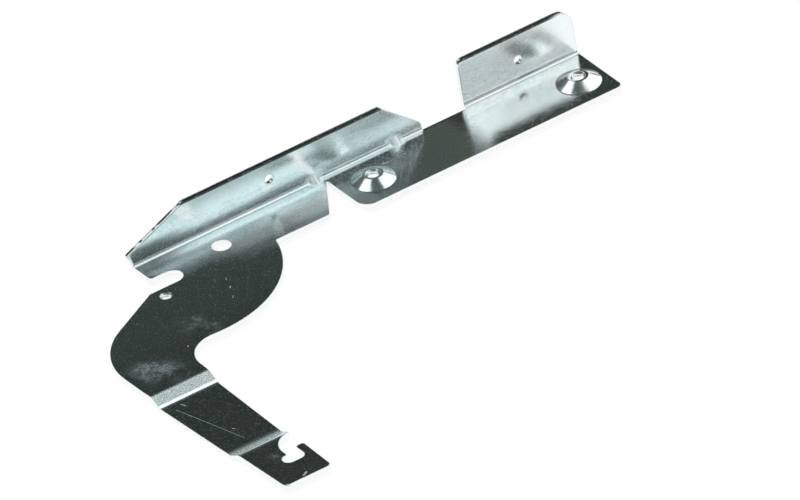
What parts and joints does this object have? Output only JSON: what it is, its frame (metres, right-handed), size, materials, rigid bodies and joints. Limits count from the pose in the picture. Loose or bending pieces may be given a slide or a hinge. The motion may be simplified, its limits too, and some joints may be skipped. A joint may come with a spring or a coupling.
{
  "type": "dishwasher door hinge",
  "caption": "Folded zinc-plated steel door hinge: lever with pivot hole, open slot and joggled hook arm, back flange, and door strip with tapped bosses and an end tab.",
  "frame": {"origin": "on the axis of the pivot bore, at the underside of the lever plate", "axes": "+X along the long fold towards the door strip's end tab, +Y to the back flange, +Z along the pivot bore, up out of the plates"},
  "size_m": [0.2643, 0.1837, 0.0264],
  "materials": {
    "zinc_plated_steel": "bright zinc plate with a faint blue passivation, mirror-like with fine mottle and scratches"
  },
  "bodies": {
    "root": {"hinge_bracket": "zinc_plated_steel"}
  },
  "joints": []
}
